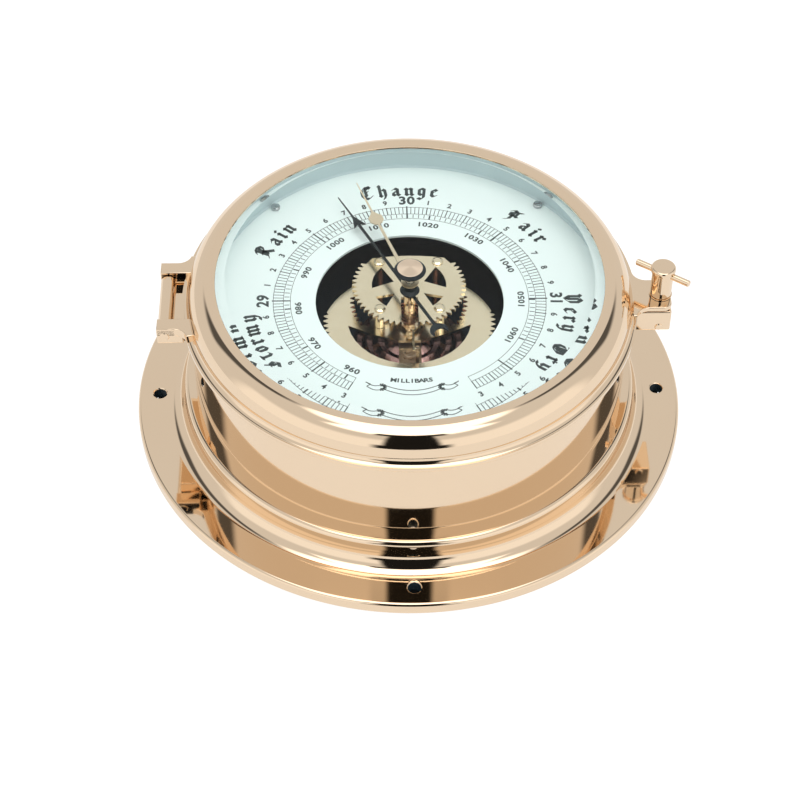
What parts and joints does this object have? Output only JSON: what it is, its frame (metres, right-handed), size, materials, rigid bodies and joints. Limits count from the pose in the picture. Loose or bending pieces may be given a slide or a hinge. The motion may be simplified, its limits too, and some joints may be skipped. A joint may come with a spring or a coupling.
{
  "type": "ship barometer",
  "caption": "Flanged round brass ship barometer with a hinged, clamped bezel, bevelled glass, set hand, open-centre dial and an aneroid movement behind it.",
  "frame": {"origin": "centre of the mounting flange, on its back face", "axes": "+Z out of the bulkhead towards the glass, +Y towards 12 o'clock on the dial, +X towards 3 o'clock, where the clamp is; the hinge is on -X"},
  "size_m": [0.21, 0.21, 0.0716],
  "materials": {
    "polished_brass": "mirror-polished pale brass",
    "plate_brass": "satin brass",
    "bronze": "dark toned bronze",
    "copper": "fine copper-coloured wire",
    "steel": "plain steel",
    "black_lacquer": "black lacquer",
    "dark_paint": "matt dark paint",
    "dial_white": "off-white enamel",
    "glass": "clear",
    "gasket_rubber": "soft black"
  },
  "bodies": {
    "case": {"case_body": "polished_brass", "back_cover": "dark_paint", "back_cover_screw_1": "steel", "back_cover_screw_2": "steel", "back_cover_screw_3": "steel", "hinge_pin": "polished_brass", "clamp_lug_pin": "polished_brass", "dial_plate": "dial_white", "dial_surround": "dial_white", "dial_screw_1": "steel", "dial_screw_2": "steel", "dial_screw_3": "steel", "dial_screw_4": "steel", "movement_tray": "dark_paint", "tray_screw_1": "steel", "tray_screw_2": "steel", "tray_screw_3": "steel", "upper_bridge_plate": "plate_brass", "lower_bridge_plate": "plate_brass", "bridge_pillar_1": "plate_brass", "bridge_pillar_2": "plate_brass", "bridge_pillar_3": "plate_brass", "bridge_pillar_4": "plate_brass", "plate_pillar_1": "plate_brass", "plate_pillar_2": "plate_brass", "plate_pillar_3": "plate_brass", "plate_pillar_4": "plate_brass", "capsule_lower": "bronze", "rocker_bracket_left": "plate_brass", "rocker_bracket_right": "plate_brass", "rocker_shaft": "steel", "hairspring": "copper", "hairspring_stud": "plate_brass"},
    "bezel": {"bezel_ring": "polished_brass", "glass": "glass", "glass_gasket": "gasket_rubber", "glass_retaining_ring": "polished_brass"},
    "clamp_collar": {"clamp_washer": "polished_brass"},
    "clamp": {"clamp_screw": "polished_brass", "clamp_tee_bar": "polished_brass"},
    "set_hand": {"set_hand": "plate_brass", "set_hand_spindle": "steel", "set_hand_knob": "polished_brass"},
    "pointer": {"pointer": "black_lacquer", "pointer_collet": "black_lacquer", "pointer_arbor": "plate_brass"},
    "sector": {"sector_gear": "plate_brass"},
    "link": {"drive_link": "plate_brass"},
    "lever": {"main_lever": "bronze", "lever_screw": "bronze"},
    "capsule": {"capsule_upper": "bronze"},
    "adjuster": {"adjusting_screw": "steel"}
  },
  "joints": [
    {"name": "bezel_open", "type": "hinge", "parent": "case", "child": "bezel", "pos_m": [-0.0905, 0, 0.054], "axis": [0, -1, 0], "range_deg": [0, 110]},
    {"name": "clamp_lift", "type": "slide", "parent": "bezel", "child": "clamp_collar", "axis": [0, 0, 1], "range_m": [0, 0.006]},
    {"name": "clamp_turn", "type": "hinge", "parent": "clamp_collar", "child": "clamp", "pos_m": [0.0936, 0, 0.0672], "axis": [0, 0, 1], "range_deg": [0, 2160]},
    {"name": "set_hand_turn", "type": "hinge", "parent": "bezel", "child": "set_hand", "pos_m": [0, 0, 0.0614], "axis": [0, 0, 1], "continuous": true},
    {"name": "pointer_turn", "type": "hinge", "parent": "case", "child": "pointer", "pos_m": [0, 0, 0.0562], "axis": [0, 0, 1], "range_deg": [-182, 128]},
    {"name": "sector_turn", "type": "hinge", "parent": "case", "child": "sector", "pos_m": [0, -0.009, 0.0422], "axis": [0, 0, 1], "range_deg": [-19.7, 28]},
    {"name": "link_slide", "type": "slide", "parent": "case", "child": "link", "axis": [0, 1, 0], "range_m": [-0.00038, 0.00054]},
    {"name": "lever_rock", "type": "hinge", "parent": "case", "child": "lever", "pos_m": [0, -0.029, 0.0353], "axis": [1, 0, 0], "range_deg": [-2.81, 1.97]},
    {"name": "capsule_breathe", "type": "slide", "parent": "case", "child": "capsule", "axis": [0, 0, 1], "range_m": [-0.0014, 0.00098]},
    {"name": "adjuster_turn", "type": "hinge", "parent": "case", "child": "adjuster", "pos_m": [0, 0, 0.006], "axis": [0, 0, 1], "range_deg": [-180, 180]}
  ],
  "couplings": [
    {"joint": "clamp_turn", "follows": "clamp_lift", "rad_per_m": 6283.2},
    {"joint": "pointer_turn", "follows": "capsule_breathe", "rad_per_m": 2241.4},
    {"joint": "sector_turn", "follows": "capsule_breathe", "rad_per_m": -344.83},
    {"joint": "link_slide", "follows": "capsule_breathe", "ratio": -0.37931},
    {"joint": "lever_rock", "follows": "capsule_breathe", "rad_per_m": 34.483}
  ]
}
